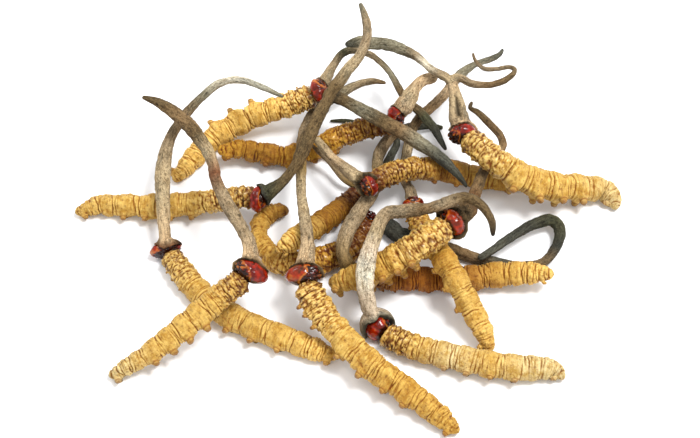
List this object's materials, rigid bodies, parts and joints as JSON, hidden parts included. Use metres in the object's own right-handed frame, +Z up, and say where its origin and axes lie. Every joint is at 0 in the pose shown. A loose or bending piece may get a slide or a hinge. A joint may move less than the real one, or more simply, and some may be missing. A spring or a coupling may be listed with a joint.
{
  "type": "dried cordyceps fungus bundle",
  "caption": "Loose heap of dried cordyceps fungi: ringed golden larvae with glossy red-brown heads and thin, bent grey stalks, lying flat on a table.",
  "frame": {"origin": "centre of the heap's outer box at table height", "axes": "+X to the right of the picture, along the heap's longest side; +Y away from the camera; +Z up from the table"},
  "size_m": [0.1236, 0.1018, 0.0269],
  "materials": {
    "larva": "dry, ringed, matt with a faint waxy sheen",
    "head": "hard, glossy and slightly see-through, like lacquer",
    "stalk_pale": "dry, pitted and streaked lengthwise",
    "stalk_grey": "dry, pitted and streaked lengthwise",
    "stalk_dark": "dry, pitted and streaked lengthwise"
  },
  "bodies": {
    "root": {"head_01": "head", "head_02": "head", "head_03": "head", "head_04": "head", "head_05": "head", "head_06": "head", "head_07": "head", "head_08": "head", "head_09": "head", "head_10": "head", "head_11": "head", "head_12": "head", "head_13": "head", "head_14": "head", "larva_01": "larva", "larva_02": "larva", "larva_03": "larva", "larva_04": "larva", "larva_05": "larva", "larva_06": "larva", "larva_07": "larva", "larva_08": "larva", "larva_09": "larva", "larva_10": "larva", "larva_11": "larva", "larva_12": "larva", "larva_13": "larva", "larva_14": "larva", "stalk_01": "stalk_grey", "stalk_02": "stalk_grey", "stalk_03": "stalk_pale", "stalk_04": "stalk_grey", "stalk_05_lower": "stalk_dark", "stalk_05_upper": "stalk_dark", "stalk_06_left": "stalk_pale", "stalk_06_right": "stalk_pale", "stalk_06_trunk": "stalk_pale", "stalk_07": "stalk_pale", "stalk_08": "stalk_pale", "stalk_09": "stalk_pale", "stalk_10": "stalk_grey", "stalk_11": "stalk_grey", "stalk_12": "stalk_pale", "stalk_12_branch": "stalk_pale", "stalk_13": "stalk_dark", "stalk_14": "stalk_pale"}
  },
  "joints": []
}
